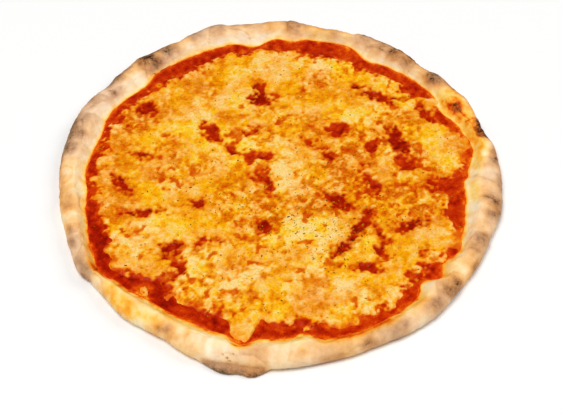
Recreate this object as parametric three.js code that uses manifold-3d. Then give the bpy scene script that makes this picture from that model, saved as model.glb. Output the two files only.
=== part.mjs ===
// A thin-crust margherita pizza about 30 cm across, straight from a wood-fired oven.
// Three layers lie on each other: a dough base whose edge has puffed up into an uneven rim, a film of
// tomato sauce that reaches the foot of that rim, and a sheet of melted cheese with ragged edges, holes
// that show the sauce, and dried herb flakes on top. One crumb of cheese lies apart from the sheet, in the
// ring of bare sauce. Units are millimetres, +Z is up and the pizza rests on Z = 0. Angles are in degrees,
// counter-clockwise from +X.
import * as THREE from "three";
import { mergeVertices } from "three/addons/utils/BufferGeometryUtils.js";
import Module from "manifold-3d";

const wasm = await Module();
wasm.setup();

// ---- Driving dimensions ----
const aroundSteps = 180; // divisions round the rim
const floorHeight = 4.0; // baked dough under the sauce
const layerGap = 0.3; // clearance between touching layers
const sauceTop = 5.6;
const sauceDip = 0.5; // depth of the hollows in the sauce
const sauceRipple = 26; // length from one hollow to the next
const sauceRound = 0.5; // rounding of the sauce's upper edge
const toeHeight = 5.8; // where the sauce meets the rim
const toeUndercut = 2.0; // how far the rim's slope runs on under the sauce
const rimHeight = 11.6; // crest between two puffs
const crestShare = 0.46; // place of the crest between the toe and the outer edge
const widestShare = 0.4; // height of the widest point, as a share of the crest's
const footInset = 6.5; // the resting face ends this far inside the outer edge
const cheeseThickness = 2.3;
const cheeseEdgeWidth = 5.0; // the cheese thins out over this distance
const cheeseToRim = 1.6; // the cheese ends at least this far inside the rim's foot
const cheeseRelief = 0.45; // lumps of melted shreds, of two lengths
const cheeseLumps = [31, 13];
const cheesePitch = 5.0; // spacing of the surface points on the cheese
const herbCount = 58;
const herbFlake = { length: 2.6, width: 1.5, height: 1.1, sunk: 0.45 };
const herbReach = 118; // herbs lie within this radius
const herbMargin = 3.5; // and this far inside the edges of the cheese

// ---- Uneven outlines, as [angle, radius] ----
const rimOutline = [
  [0, 150.5], [9, 150.4], [15, 147.8], [27, 150.4], [36, 147.6], [43, 145.6], [51, 147], [61, 148.9],
  [69, 146.2], [76, 144.8], [88, 149.3], [96, 148], [110, 151.6], [123, 147], [134, 149.3], [146, 147.6],
  [157, 151.2], [170, 148.4], [184, 146.8], [200, 147], [211, 149.6], [219, 147], [232, 149.4], [241, 148.6],
  [251, 153], [268, 152.4], [281, 150.2], [294, 148.6], [308, 150.8], [326, 148.1], [334, 148.2], [350, 151],
];
const sauceOutline = [
  [0, 127.5], [11, 135], [18, 132.5], [28, 127.5], [35, 132], [42, 131], [52, 129], [59, 125.5], [68, 133.5],
  [80, 132], [86, 128.5], [90, 131], [98, 124], [105, 129.7], [120, 129], [132, 128.8], [138, 125.2],
  [154, 129.5], [165, 126.5], [180, 129], [186, 127.3], [197, 130.5], [208, 134.8], [215, 138.5], [222, 134],
  [233, 130], [245, 130.6], [256, 131.8], [260.5, 136.8], [266, 131.4], [272, 131], [277, 127.8], [283, 135],
  [292, 135.4], [310, 133.6], [316, 127], [320.5, 133.6], [325, 128.4], [331, 132.6], [337, 129.6],
  [348, 126.5], [357, 124.5],
];
const cheeseOutline = [
  [0, 121], [6, 127], [14, 130], [19, 126], [24, 120], [29, 122], [33, 127], [38, 118], [48, 120], [57, 117],
  [66, 119], [84, 117.5], [99, 119], [108, 121], [118, 117], [134, 118.5], [143, 119], [152, 122.5],
  [168, 123], [182, 123], [194, 122], [205, 121.5], [211, 125], [215.5, 129.5], [221, 125], [226, 119.5],
  [231, 112], [236, 119], [249, 115.5], [255, 119.5], [258, 134], [261.5, 135], [265.5, 116], [272, 121],
  [281, 124],
  [288, 128.5], [299, 127.5], [311, 124.5], [323, 122.5], [331, 127], [338, 128], [343, 115], [351, 112.5],
  [356, 105],
];

// ---- Puffs of the rim, as [angle, half span, rise] ----
const rimPuffs = [
  [2, 5, 1.3], [9, 4, 1.0], [18, 4.5, 1.5], [27, 5, 2.2], [37.5, 5, 2.4], [52, 8.5, 2.7], [64.5, 4.5, 2.0],
  [73, 4, 1.2], [79, 3, 0.9], [86, 5, 1.8], [94, 4.5, 1.6], [100, 3.5, 1.0], [108, 5, 1.9], [116, 4, 1.3],
  [124, 4.5, 1.4], [134, 4, 2.1], [142, 4.5, 1.5], [150.5, 5, 1.3], [163, 6, 2.4], [171, 3.5, 1.4],
  [181, 5, 1.0], [189, 5, 1.8], [200, 5, 1.2], [207, 3.5, 1.0], [214, 4.5, 1.7], [224, 5, 1.2],
  [232, 4.5, 1.8], [241, 5, 2.0], [250, 5, 1.4], [261, 6, 1.5], [275, 5.5, 1.7], [286, 5, 1.3],
  [300, 6, 1.7], [310, 4.5, 1.4], [319, 5, 2.1], [327, 4, 1.2], [335.5, 4.5, 1.8], [347, 6.5, 2.3],
  [356, 4, 1.3],
];
// Folds between puffs, pressed into the inner slope, as [angle, half span, depth].
const rimFolds = [
  [60, 3, 1.6], [129, 3.5, 3.2], [146, 3, 1.2], [185, 2.5, 0.8], [219, 3, 1.2], [267, 3, 0.9],
];
// Where the floor of the dough sticks out from under the rim, as [angle, half span, reach].
const footLips = [[176, 7, 2.0], [187, 3, 2.0], [213, 5, 1.5], [258.5, 9.5, 7.2], [265, 4.5, 5.0]];

// ---- Holes in the cheese, as [x, y, half length, half width, turn] ----
const sauceWindows = [
  [-47, 38, 10, 4.6, -60], [-33, 25, 6, 2.8, -40], [-16, 18, 7.5, 4, 10], [-13, -1, 5.5, 4.5, 0],
  [-12, 70, 8, 4.6, 20], [-13, 81, 6, 3, -60], [43, 44, 6.5, 5, 10], [80, 38, 9, 3.6, -70],
  [84, 26, 8.5, 4.8, -60], [87, 9, 7, 6, 0], [21, 29, 8, 3.4, -20], [35, 15, 4.6, 3.2, -30],
  [39, -22, 8.5, 3.6, -35], [57, -38, 7.5, 3.8, 80], [46, -59, 7.5, 4, 35], [55, -77, 9, 3.2, -5],
  [68, -63, 7.5, 3.2, -80], [83, -44, 8.5, 3.6, 12], [61, -5, 12, 3.8, -65], [-69, -65, 9, 4.8, 10],
  [-62, -79, 12, 4, 90], [-67, -94, 9, 5.5, 20], [-88, -33, 8.5, 2.6, 2], [-101, -12, 11, 3, -55],
  [-90, 62, 6, 4.6, 70], [73, 72, 11, 4, -28], [104, -10, 10, 4, 20], [114, 52, 9, 5, -40],
  [-55, -28, 6, 3, 30], [-91, 20, 7, 2.6, -8],
];
const cheeseCrumb = { angle: 229, radius: 127.6, length: 8.4, width: 5.2, height: 2.0 };

// ---- Small helpers ----
const radians = THREE.MathUtils.degToRad;
const degreesBetween = (a, b) => Math.abs(((a - b + 540) % 360) - 180);
const bump = (angle, at, halfSpan) => {
  const away = degreesBetween(angle, at) / halfSpan;
  return away < 1 ? 0.5 + 0.5 * Math.cos(Math.PI * away) : 0;
};
const sumOfBumps = (features, angle) =>
  features.reduce((sum, [at, halfSpan, amount]) => sum + amount * bump(angle, at, halfSpan), 0);

// Radius of an uneven outline at an angle, eased between its points.
function radiusAt(outline, angle) {
  const turned = ((angle % 360) + 360) % 360;
  let next = outline.findIndex(([at]) => at > turned);
  if (next < 0) next = outline.length;
  const [fromAngle, fromRadius] = outline[next - 1];
  const [toAngle, toRadius] = next < outline.length ? outline[next] : [360, outline[0][1]];
  const share = (turned - fromAngle) / (toAngle - fromAngle);
  return fromRadius + (toRadius - fromRadius) * (0.5 - 0.5 * Math.cos(Math.PI * share));
}

// Smooth wandering value between -1 and 1, the same on every run.
function wander(x, y, wavelength) {
  const k = (2 * Math.PI) / wavelength;
  const first = Math.sin(k * (0.94 * x + 0.34 * y) + 1.3 * Math.sin(k * 0.41 * (0.5 * y - x)));
  const second = Math.sin(k * (0.87 * y - 0.49 * x) + 1.7 * Math.sin(k * 0.37 * (x + 0.6 * y)) + 2.1);
  return 0.5 * (first + second);
}

// A number from 0 to 1 that depends only on its index and its channel.
function draw(index, channel) {
  const value = Math.sin(index * 127.1 + channel * 311.7 + 7.3) * 43758.5453;
  return value - Math.floor(value);
}

// A closed body from a profile of [radius, height] at each angle. The profile runs from the axis below, out
// round the edge, and back to the axis above.
function bodyOfProfiles(profileAt) {
  const profiles = Array.from({ length: aroundSteps }, (_, i) => profileAt((360 * i) / aroundSteps));
  const rings = profiles[0].length - 2;
  const positions = [];
  profiles.forEach((profile, i) => {
    const turn = radians((360 * i) / aroundSteps);
    for (const [radius, height] of profile.slice(1, -1)) {
      positions.push(radius * Math.cos(turn), radius * Math.sin(turn), height);
    }
  });
  const bottom = positions.length / 3;
  positions.push(0, 0, profiles[0][0][1]);
  positions.push(0, 0, profiles[0][rings + 1][1]);
  const faces = [];
  for (let i = 0; i < aroundSteps; i++) {
    const here = i * rings;
    const there = ((i + 1) % aroundSteps) * rings;
    faces.push(bottom, there, here);
    for (let k = 0; k < rings - 1; k++) {
      faces.push(here + k, there + k, there + k + 1);
      faces.push(here + k, there + k + 1, here + k + 1);
    }
    faces.push(bottom + 1, here + rings - 1, there + rings - 1);
  }
  const geometry = new THREE.BufferGeometry();
  geometry.setAttribute("position", new THREE.Float32BufferAttribute(positions, 3));
  geometry.setIndex(faces);
  return geometry;
}

// ---- Solids for cutting and joining ----
function solidOf(geometry) {
  const bare = geometry.clone().deleteAttribute("normal").deleteAttribute("uv");
  const merged = mergeVertices(bare, 1e-3);
  return new wasm.Manifold(
    new wasm.Mesh({
      numProp: 3,
      vertProperties: new Float32Array(merged.attributes.position.array),
      triVerts: new Uint32Array(merged.index.array),
    }),
  );
}

function geometryOf(solid) {
  const mesh = solid.getMesh();
  const positions = new Float32Array(mesh.numVert * 3);
  for (let i = 0; i < mesh.numVert; i++) {
    const from = i * mesh.numProp;
    positions.set(mesh.vertProperties.subarray(from, from + 3), i * 3);
  }
  const geometry = new THREE.BufferGeometry();
  geometry.setAttribute("position", new THREE.BufferAttribute(positions, 3));
  geometry.setIndex(new THREE.BufferAttribute(new Uint32Array(mesh.triVerts), 1));
  geometry.computeVertexNormals();
  return geometry;
}

// ---- Dough: flat base and puffed rim in one piece ----
function crustProfile(angle) {
  const outer = radiusAt(rimOutline, angle);
  const toe = radiusAt(sauceOutline, angle);
  const crest = toe + crestShare * (outer - toe);
  const height = rimHeight + sumOfBumps(rimPuffs, angle);
  const widest = widestShare * height;
  const lip = sumOfBumps(footLips, angle);
  const fold = sumOfBumps(rimFolds, angle);
  const profile = [
    [0, 0],
    [outer - footInset + lip, 0],
  ];
  const footSteps = 3;
  for (let i = 1; i <= footSteps; i++) {
    const a = (Math.PI / 2) * (i / footSteps - 1);
    const out = lip * Math.cos(((Math.PI / 2) * (i - 1)) / (footSteps - 1));
    profile.push([outer - footInset * (1 - Math.cos(a)) + out, widest * (1 + Math.sin(a))]);
  }
  const shoulderSteps = 4;
  for (let i = 1; i <= shoulderSteps; i++) {
    const a = ((Math.PI / 2) * i) / shoulderSteps;
    profile.push([crest + (outer - crest) * Math.cos(a), widest + (height - widest) * Math.sin(a)]);
  }
  const slopeSteps = 4;
  for (let i = 1; i <= slopeSteps; i++) {
    const share = i / slopeSteps;
    const fall = 0.5 + 0.5 * Math.cos(Math.PI * share);
    const pressed = fold * Math.sin(Math.PI * share);
    profile.push([crest - (crest - toe) * share, toeHeight + (height - toeHeight) * fall - pressed]);
  }
  profile.push([toe - toeUndercut, floorHeight], [0, floorHeight]);
  return profile;
}

// ---- Tomato sauce: a film on the base, up to the foot of the rim ----
function sauceHeight(radius, angle) {
  const x = radius * Math.cos(radians(angle));
  const y = radius * Math.sin(radians(angle));
  return sauceTop - sauceDip * (0.5 + 0.5 * wander(x, y, sauceRipple));
}

function sauceProfile(angle) {
  const toe = radiusAt(sauceOutline, angle);
  const bottom = floorHeight + layerGap;
  const edge = toe - 2 * layerGap;
  const profile = [
    [0, bottom],
    [edge - toeUndercut, bottom],
    [edge - sauceRound, sauceTop - sauceRound],
  ];
  for (const inwards of [2, 6, 12]) {
    profile.push([edge - inwards, sauceHeight(edge - inwards, angle)]);
  }
  profile.push([0, sauceTop]);
  return profile;
}

// ---- Melted cheese: a sheet with ragged edges and holes ----
// How far inside the cheese a point is: negative off its edge or in a hole.
function cheeseCover(x, y) {
  const angle = THREE.MathUtils.radToDeg(Math.atan2(y, x));
  const edge = Math.min(radiusAt(cheeseOutline, angle), radiusAt(sauceOutline, angle) - cheeseToRim);
  let cover = edge - Math.hypot(x, y);
  for (const [centreX, centreY, halfLength, halfWidth, turn] of sauceWindows) {
    const c = Math.cos(radians(turn));
    const s = Math.sin(radians(turn));
    const along = ((x - centreX) * c + (y - centreY) * s) / halfLength;
    const across = ((y - centreY) * c - (x - centreX) * s) / halfWidth;
    cover = Math.min(cover, (Math.hypot(along, across) - 1) * halfWidth);
  }
  return cover;
}

function cheeseSurface(x, y) {
  const cover = cheeseCover(x, y);
  const inside = Math.min(Math.max(cover, -cheeseEdgeWidth) / cheeseEdgeWidth, 1);
  const body = inside > 0 ? Math.sqrt(1 - (1 - inside) * (1 - inside)) : 1.5 * inside;
  const lumps = wander(x, y, cheeseLumps[0]) + wander(y, x, cheeseLumps[1]);
  return cheeseThickness * body + cheeseRelief * lumps * Math.max(inside, 0);
}

const cheeseBottom = sauceTop + layerGap;

// The sheet is the part of a block with that surface that stands above the sauce.
function cheeseSheet() {
  const reach = 138;
  const rowPitch = cheesePitch * Math.sin(radians(60));
  const columns = Math.ceil((2 * reach) / cheesePitch);
  const rows = Math.ceil((2 * reach) / rowPitch);
  const depth = 12;
  const top = [];
  for (let j = 0; j <= rows; j++) {
    for (let i = 0; i <= columns; i++) {
      const x = -reach + (i + (j % 2) / 2) * cheesePitch;
      const y = -reach + j * rowPitch;
      top.push([x, y, cheeseBottom + cheeseSurface(x, y)]);
    }
  }
  const count = top.length;
  const positions = [...top.flat(), ...top.flatMap(([x, y]) => [x, y, cheeseBottom - depth])];
  const faces = [];
  const quad = (a, b, c, d) => faces.push(a, b, c, a, c, d);
  const at = (i, j) => j * (columns + 1) + i;
  for (let j = 0; j < rows; j++) {
    for (let i = 0; i < columns; i++) {
      const [a, b, c, d] = [at(i, j), at(i + 1, j), at(i + 1, j + 1), at(i, j + 1)];
      // The shorter diagonal changes with the row, so that the triangles stay even.
      if (j % 2) faces.push(a, b, c, a, c, d);
      else faces.push(a, b, d, b, c, d);
      quad(count + a, count + d, count + c, count + b);
    }
    quad(at(0, j), at(0, j + 1), count + at(0, j + 1), count + at(0, j));
    quad(at(columns, j + 1), at(columns, j), count + at(columns, j), count + at(columns, j + 1));
  }
  for (let i = 0; i < columns; i++) {
    quad(at(i + 1, 0), at(i, 0), count + at(i, 0), count + at(i + 1, 0));
    quad(at(i, rows), at(i + 1, rows), count + at(i + 1, rows), count + at(i, rows));
  }
  const block = new THREE.BufferGeometry();
  block.setAttribute("position", new THREE.Float32BufferAttribute(positions, 3));
  block.setIndex(faces);
  const below = new THREE.BoxGeometry(4 * reach, 4 * reach, 2 * depth);
  below.translate(0, 0, cheeseBottom - depth);
  return solidOf(block).subtract(solidOf(below));
}

// Dried herb flakes: thin pointed scales, partly sunk in the cheese.
function herbFlakes() {
  const flakes = [];
  for (let i = 0; flakes.length < herbCount; i++) {
    const radius = herbReach * Math.sqrt(draw(i, 0));
    const angle = 360 * draw(i, 1);
    const x = radius * Math.cos(radians(angle));
    const y = radius * Math.sin(radians(angle));
    if (cheeseCover(x, y) < herbMargin) continue;
    const flake = new THREE.OctahedronGeometry(0.5, 0);
    const size = 0.75 + 0.5 * draw(i, 2);
    flake.scale(herbFlake.length * size, herbFlake.width * size, herbFlake.height);
    flake.rotateY(0.3 * (draw(i, 3) - 0.5));
    flake.rotateZ(Math.PI * draw(i, 4));
    const middle = (0.5 - herbFlake.sunk) * herbFlake.height;
    flake.translate(x, y, cheeseBottom + cheeseSurface(x, y) + middle);
    flakes.push(solidOf(flake));
  }
  return flakes;
}

// The largest body of a solid: loose scraps at a ragged edge are dropped.
function largestBody(solid) {
  return solid.decompose().reduce((best, body) => (body.volume() > best.volume() ? body : best));
}

function meltedCheese() {
  const sheet = largestBody(cheeseSheet());
  return geometryOf(largestBody(wasm.Manifold.union([sheet, ...herbFlakes()])));
}

function cheeseCrumbGeometry() {
  const { length, width, height } = cheeseCrumb;
  const crumb = new THREE.IcosahedronGeometry(0.5, 1);
  crumb.deleteAttribute("normal").deleteAttribute("uv");
  const points = crumb.attributes.position;
  for (let i = 0; i < points.count; i++) {
    const [x, y, z] = [points.getX(i), points.getY(i), points.getZ(i)];
    const swell = 1 + 0.14 * wander(x * 10, y * 10, 6);
    points.setXYZ(i, x * length * swell, y * width * swell, Math.max(z, -0.2) * height);
  }
  crumb.translate(0, 0, 0.2 * height);
  return mergeVertices(crumb, 1e-3);
}

// ---- The pizza ----
const doughMaterial = new THREE.MeshStandardMaterial({ color: 0xe9c795, roughness: 0.85, metalness: 0 });
const sauceMaterial = new THREE.MeshStandardMaterial({ color: 0xb82408, roughness: 0.3, metalness: 0 });
const cheeseMaterial = new THREE.MeshStandardMaterial({ color: 0xf6b53c, roughness: 0.4, metalness: 0 });

const layers = new THREE.Group();
function addPiece(name, geometry, material) {
  const mesh = new THREE.Mesh(geometry, material);
  mesh.name = name;
  layers.add(mesh);
  return mesh;
}

const crust = addPiece("crust", bodyOfProfiles(crustProfile), doughMaterial);
addPiece("tomato_sauce", bodyOfProfiles(sauceProfile), sauceMaterial);
addPiece("melted_cheese", meltedCheese(), cheeseMaterial);
const crumb = addPiece("cheese_crumb", cheeseCrumbGeometry(), cheeseMaterial);
crumb.position.set(
  cheeseCrumb.radius * Math.cos(radians(cheeseCrumb.angle)),
  cheeseCrumb.radius * Math.sin(radians(cheeseCrumb.angle)),
  sauceTop + layerGap,
);
crumb.rotation.z = radians(cheeseCrumb.angle + 60);

// The origin is the middle of the pizza's own width and length, on the surface that it rests on.
crust.geometry.computeBoundingBox();
const middle = crust.geometry.boundingBox.getCenter(new THREE.Vector3());
layers.position.set(-middle.x, -middle.y, 0);

const pizza = new THREE.Group();
pizza.add(layers);

export default pizza;
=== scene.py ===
import math

import bpy
import numpy as np
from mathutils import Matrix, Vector


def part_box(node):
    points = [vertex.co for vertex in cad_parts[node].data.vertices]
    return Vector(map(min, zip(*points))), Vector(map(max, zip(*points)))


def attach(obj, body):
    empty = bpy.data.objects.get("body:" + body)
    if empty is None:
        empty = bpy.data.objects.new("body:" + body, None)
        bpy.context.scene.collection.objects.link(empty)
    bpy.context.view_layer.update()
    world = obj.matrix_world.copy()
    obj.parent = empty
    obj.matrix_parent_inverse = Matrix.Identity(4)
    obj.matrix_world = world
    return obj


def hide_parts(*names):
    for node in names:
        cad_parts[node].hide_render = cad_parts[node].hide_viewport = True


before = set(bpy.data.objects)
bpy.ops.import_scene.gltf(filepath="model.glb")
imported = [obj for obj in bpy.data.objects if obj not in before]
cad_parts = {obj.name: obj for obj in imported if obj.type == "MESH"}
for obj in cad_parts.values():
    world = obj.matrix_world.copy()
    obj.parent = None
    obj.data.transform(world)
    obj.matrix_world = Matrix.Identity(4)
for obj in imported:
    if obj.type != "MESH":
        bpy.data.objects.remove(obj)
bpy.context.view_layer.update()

print("pizza: frame loaded")

mm = 0.001


# The form that the solids have too: sizes in mm, angles in degrees, counter-clockwise from +X.
dough = {
    "floorHeight": 4.0,
    "toeHeight": 5.8,  # where the sauce meets the rim
    "toeUndercut": 2.0,
    "rimHeight": 11.6,
    "crestShare": 0.46,
    "widestShare": 0.4,
    "footInset": 6.5,
}
sauceTop = 5.6
cheeseBottom = 5.9

rimOutline = [
    (0, 150.5), (9, 150.4), (15, 147.8), (27, 150.4), (36, 147.6), (43, 145.6), (51, 147), (61, 148.9),
    (69, 146.2), (76, 144.8), (88, 149.3), (96, 148), (110, 151.6), (123, 147), (134, 149.3), (146, 147.6),
    (157, 151.2), (170, 148.4), (184, 146.8), (200, 147), (211, 149.6), (219, 147), (232, 149.4),
    (241, 148.6), (251, 153), (268, 152.4), (281, 150.2), (294, 148.6), (308, 150.8), (326, 148.1),
    (334, 148.2), (350, 151),
]
sauceOutline = [
    (0, 127.5), (11, 135), (18, 132.5), (28, 127.5), (35, 132), (42, 131), (52, 129), (59, 125.5),
    (68, 133.5), (80, 132), (86, 128.5), (90, 131), (98, 124), (105, 129.7), (120, 129), (132, 128.8),
    (138, 125.2), (154, 129.5), (165, 126.5), (180, 129), (186, 127.3), (197, 130.5), (208, 134.8),
    (215, 138.5), (222, 134), (233, 130), (245, 130.6), (256, 131.8), (260.5, 136.8), (266, 131.4),
    (272, 131), (277, 127.8), (283, 135), (292, 135.4), (310, 133.6), (316, 127), (320.5, 133.6),
    (325, 128.4), (331, 132.6), (337, 129.6), (348, 126.5), (357, 124.5),
]
cheeseOutline = [
    (0, 121), (6, 127), (14, 130), (19, 126), (24, 120), (29, 122), (33, 127), (38, 118), (48, 120),
    (57, 117), (66, 119), (84, 117.5), (99, 119), (108, 121), (118, 117), (134, 118.5), (143, 119),
    (152, 122.5), (168, 123), (182, 123), (194, 122), (205, 121.5), (211, 125), (215.5, 129.5), (221, 125),
    (226, 119.5), (231, 112), (236, 119), (249, 115.5), (255, 119.5), (258, 134), (261.5, 135),
    (265.5, 116), (272, 121), (281, 124), (288, 128.5), (299, 127.5), (311, 124.5), (323, 122.5),
    (331, 127), (338, 128), (343, 115), (351, 112.5), (356, 105),
]
# Puffs of the rim and the folds between them, as (angle, half span, rise or depth).
rimPuffs = [
    (2, 5, 1.3), (9, 4, 1.0), (18, 4.5, 1.5), (27, 5, 2.2), (37.5, 5, 2.4), (52, 8.5, 2.7),
    (64.5, 4.5, 2.0), (73, 4, 1.2), (79, 3, 0.9), (86, 5, 1.8), (94, 4.5, 1.6), (100, 3.5, 1.0),
    (108, 5, 1.9), (116, 4, 1.3), (124, 4.5, 1.4), (134, 4, 2.1), (142, 4.5, 1.5), (150.5, 5, 1.3),
    (163, 6, 2.4), (171, 3.5, 1.4), (181, 5, 1.0), (189, 5, 1.8), (200, 5, 1.2), (207, 3.5, 1.0),
    (214, 4.5, 1.7), (224, 5, 1.2), (232, 4.5, 1.8), (241, 5, 2.0), (250, 5, 1.4), (261, 6, 1.5),
    (275, 5.5, 1.7), (286, 5, 1.3), (300, 6, 1.7), (310, 4.5, 1.4), (319, 5, 2.1), (327, 4, 1.2),
    (335.5, 4.5, 1.8), (347, 6.5, 2.3), (356, 4, 1.3),
]
rimFolds = [(60, 3, 1.6), (129, 3.5, 3.2), (146, 3, 1.2), (185, 2.5, 0.8), (219, 3, 1.2), (267, 3, 0.9)]
footLips = [(176, 7, 2.0), (187, 3, 2.0), (213, 5, 1.5), (258.5, 9.5, 7.2), (265, 4.5, 5.0)]
cheeseCrumb = {"angle": 229, "radius": 127.6, "length": 8.4, "width": 5.2, "height": 2.0}

# Smears of sauce that show through the cheese: (x, y, half length, half width, turn, how dark it is).
sauceWindows = [
    (-47, 38, 11, 5.4, -57, 0.1), (-34, 25, 7, 3, -38, 0.3), (-14, 17, 8.5, 4.4, 14, 0.2),
    (-12, -1, 6, 4.5, 0, 0.0), (-5, -9, 8, 3.4, -70, 0.2), (-11, 70, 8.5, 4.4, 18, 0.8),
    (-13, 81, 6, 3.2, -60, 0.5), (-21, 38, 6.5, 2.6, 25, 0.5), (43, 43, 7.5, 5.2, 10, 0.1),
    (79, 38, 10, 3.6, -75, 0.9), (82, 27, 9.5, 5.2, -60, 0.8), (87, 10, 8, 6, 40, 0.5),
    (20, 31, 7, 3, -45, 0.4), (28, 25, 6, 2.6, -15, 0.4), (35, 15, 5.4, 4, -30, 0.7),
    (66, 24, 8, 2.6, 80, 0.5), (39, -21, 10, 3.8, -42, 0.6), (57, -36, 9, 4.2, 78, 0.8),
    (52, -49, 8, 3, 62, 0.7), (45, -60, 8.5, 4.2, 45, 0.9), (54, -77, 10, 3.8, -8, 0.5),
    (65, -49, 9, 2.8, -65, 0.5), (68, -64, 8, 3.6, 85, 0.3), (85, -44, 10, 4, 12, 0.8),
    (61, -4, 13, 4.2, -62, 0.3), (-70, -63, 9.5, 5, 15, 0.5), (-62, -76, 13, 4.2, 88, 0.3),
    (-70, -95, 9, 3.6, 20, 0.3), (-88, -33, 11, 2.8, 3, 0.4), (-105, -10, 11, 3.2, -50, 0.7),
    (-90, 60, 7, 4.6, 60, 0.5), (72, 72, 13, 4.4, -20, 0.7), (60, 81, 6, 2, -25, 0.8),
    (108, -10, 12, 6, 25, 0.4), (114, 52, 11, 6, -42, 0.2), (-54, -27, 7, 4.4, 30, 0.7),
    (-93, 17, 8, 2.4, -14, 0.5), (-46, -57, 7, 1.6, 8, 0.4), (89, -83, 7, 3.6, 20, 0.3),
    (104, 55, 6, 3, -60, 0.3), (-10, -45, 5, 3.4, -20, 0.9),
]


def radiusAt(outline, angle):
    at = np.array([a for a, r in outline] + [360.0])
    radius = np.array([r for a, r in outline] + [outline[0][1]])
    turned = np.mod(angle, 360.0)
    i = np.clip(np.searchsorted(at, turned, side="right") - 1, 0, len(outline) - 1)
    share = (turned - at[i]) / (at[i + 1] - at[i])
    return radius[i] + (radius[i + 1] - radius[i]) * (0.5 - 0.5 * np.cos(np.pi * share))


def angleOf(x, y):
    return np.degrees(np.arctan2(y, x)) % 360.0


def placeAt(radius, angle):
    return radius * np.cos(np.radians(angle)), radius * np.sin(np.radians(angle))


def turnBetween(angle, at):
    return np.abs((angle - at + 540.0) % 360.0 - 180.0)


def sumOfBumps(features, angle):
    total = np.zeros_like(angle)
    for at, halfSpan, amount in features:
        away = np.minimum(turnBetween(angle, at) / halfSpan, 1.0)
        total += amount * (0.5 + 0.5 * np.cos(np.pi * away))
    return total


def smooth(low, high, value):
    t = np.clip((value - low) / (high - low), 0.0, 1.0)
    return t * t * (3.0 - 2.0 * t)


def hashed(ix, iy, iz, seed):
    n = (ix * 374761393 + iy * 668265263 + iz * 1440662683 + seed * 69069) & 0xFFFFFFFF
    n = ((n ^ (n >> 13)) * 1274126177) & 0xFFFFFFFF
    n = ((n ^ (n >> 15)) * 2246822519) & 0xFFFFFFFF
    return ((n ^ (n >> 16)) & 0xFFFF) / 32767.5 - 1.0


def cloud(seed, size, x, y, z=None, octaves=1):
    # smooth lattice noise between about -1 and 1, with lumps of the given size in mm
    z = np.zeros_like(x) if z is None else z
    total = np.zeros_like(x)
    weight = 0.0
    for octave in range(octaves):
        k = 2.0**octave / size
        px, py, pz = x * k + 37.7 * octave, y * k + 11.3 * octave, z * k + 5.9 * octave
        ix, iy, iz = (np.floor(p).astype(np.int64) for p in (px, py, pz))
        fx, fy, fz = ((p - i) ** 2 * (3.0 - 2.0 * (p - i)) for p, i in ((px, ix), (py, iy), (pz, iz)))
        value = 0.0
        for dx in (0, 1):
            for dy in (0, 1):
                for dz in (0, 1):
                    share = (fx if dx else 1 - fx) * (fy if dy else 1 - fy) * (fz if dz else 1 - fz)
                    value = value + share * hashed(ix + dx, iy + dy, iz + dz, seed + octave)
        total += value * 0.5**octave
        weight += 0.5**octave
    return total / weight


def evenCloud(seed, size, x, y, z=None, octaves=1):
    # a cloud stretched to fill the range from -1 to 1, because most of it lies within 0.42 of 0
    return cloud(seed, size, x, y, z, octaves) / 0.42


def thinLines(noise, width):
    # 1 along the lines where a cloud crosses 0, falling to 0 beside them
    return 1.0 - np.minimum(np.abs(noise) / width, 1.0)


def fading(distance, reach, power):
    return np.exp(-(np.maximum(distance, 0.0) / reach) ** power)


def insideEllipse(x, y, centreX, centreY, halfLength, halfWidth, turn):
    # 1 at the middle, 0 on the edge, negative outside
    c, s = math.cos(math.radians(turn)), math.sin(math.radians(turn))
    along = ((x - centreX) * c + (y - centreY) * s) / halfLength
    across = ((y - centreY) * c - (x - centreX) * s) / halfWidth
    return 1.0 - np.hypot(along, across)


def ranked(values, chosen):
    # 0 for the lowest of the chosen values and 1 for the highest, evenly spread between
    inOrder = np.sort(values[chosen])
    return np.searchsorted(inOrder, values) / max(len(inOrder), 1)


# The solids are shifted so that their box is centred on the origin.
def footReach(angle):
    outer = radiusAt(rimOutline, angle)
    lip = sumOfBumps(footLips, angle)
    reach = outer
    for step in (1, 2):
        a = math.pi / 2 * (step / 3 - 1)
        out = lip * math.cos(math.pi / 2 * (step - 1) / 2)
        reach = np.maximum(reach, outer - dough["footInset"] * (1 - math.cos(a)) + out)
    return reach


boxAngles = np.arange(0.0, 360.0, 2.0)
boxX, boxY = placeAt(footReach(boxAngles), boxAngles)
middle = ((boxX.min() + boxX.max()) / 2, (boxY.min() + boxY.max()) / 2)
print("pizza: middle of the outline at %.2f, %.2f mm" % middle)


def startPiece(name):
    piece = bpy.context.object
    piece.name = name
    piece.data.name = name
    return piece


def deselectAll():
    bpy.ops.object.select_all(action="DESELECT")


def finishPiece(piece, slot, material, *nodes):
    piece.data.materials.clear()
    piece.data.materials.append(material)
    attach(piece, "root")
    if nodes:
        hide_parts(*nodes)
    print("pizza: %s, %d faces" % (piece.name, len(piece.data.polygons)))


def selectPoints(mesh, chosen):
    # leaves the piece in edit mode with only the chosen vertices selected
    bpy.ops.object.mode_set(mode="EDIT")
    bpy.ops.mesh.select_mode(type="VERT")
    bpy.ops.mesh.select_all(action="DESELECT")
    bpy.ops.object.mode_set(mode="OBJECT")
    mesh.vertices.foreach_set("select", chosen)
    bpy.ops.object.mode_set(mode="EDIT")


def pointsOf(mesh):
    co = np.empty(len(mesh.vertices) * 3)
    mesh.vertices.foreach_get("co", co)
    return co.reshape(-1, 3) / mm


def placePoints(mesh, x, y, z):
    co = np.stack([x - middle[0], y - middle[1], z], axis=1) * mm
    mesh.vertices.foreach_set("co", co.ravel())
    mesh.update()


def normalsOf(mesh):
    normals = np.empty(len(mesh.vertices) * 3)
    mesh.vertices.foreach_get("normal", normals)
    return normals.reshape(-1, 3)


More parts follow.
